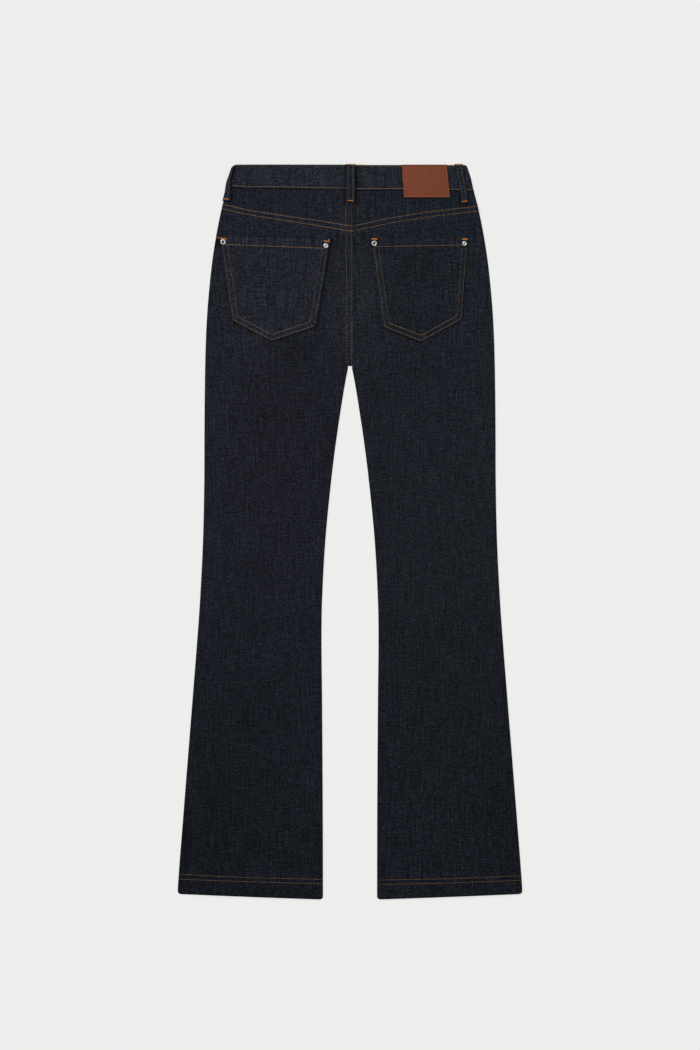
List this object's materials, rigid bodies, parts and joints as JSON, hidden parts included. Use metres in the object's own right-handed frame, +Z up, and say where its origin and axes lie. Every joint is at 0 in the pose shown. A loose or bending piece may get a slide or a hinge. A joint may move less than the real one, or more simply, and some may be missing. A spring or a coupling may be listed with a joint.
{
  "type": "flared jeans laid flat",
  "caption": "Long denim trousers that widen from the knee to a wide hem, laid flat with the back up, with yoke, patch pockets, rivets and a leather waist patch.",
  "frame": {"origin": "centre of the part's box, on the surface that the jeans lie on", "axes": "+Z up out of the back, +Y from the hems towards the waist, +X towards the wearer's right side"},
  "size_m": [0.5162, 1.1014, 0.0089],
  "materials": {
    "indigo_denim": "matte twill",
    "topstitch_thread": "satin thread",
    "bartack_thread": "satin thread",
    "patch_leather": "semi-matte",
    "rivet_metal": "polished",
    "button_metal": "satin"
  },
  "bodies": {
    "root": {"left_back_panel": "indigo_denim", "right_back_panel": "indigo_denim", "left_back_yoke": "indigo_denim", "right_back_yoke": "indigo_denim", "left_back_pocket": "indigo_denim", "right_back_pocket": "indigo_denim", "back_waistband": "indigo_denim", "left_front_waistband": "indigo_denim", "right_front_waistband": "indigo_denim", "centre_back_loop": "indigo_denim", "right_back_loop": "indigo_denim", "left_side_loop": "indigo_denim", "left_front_loop": "indigo_denim", "right_front_loop": "indigo_denim", "left_front_panel": "indigo_denim", "right_front_panel": "indigo_denim", "waist_patch": "patch_leather", "left_outer_rivet": "rivet_metal", "left_inner_rivet": "rivet_metal", "right_inner_rivet": "rivet_metal", "right_outer_rivet": "rivet_metal", "waist_button": "button_metal"}
  },
  "joints": []
}
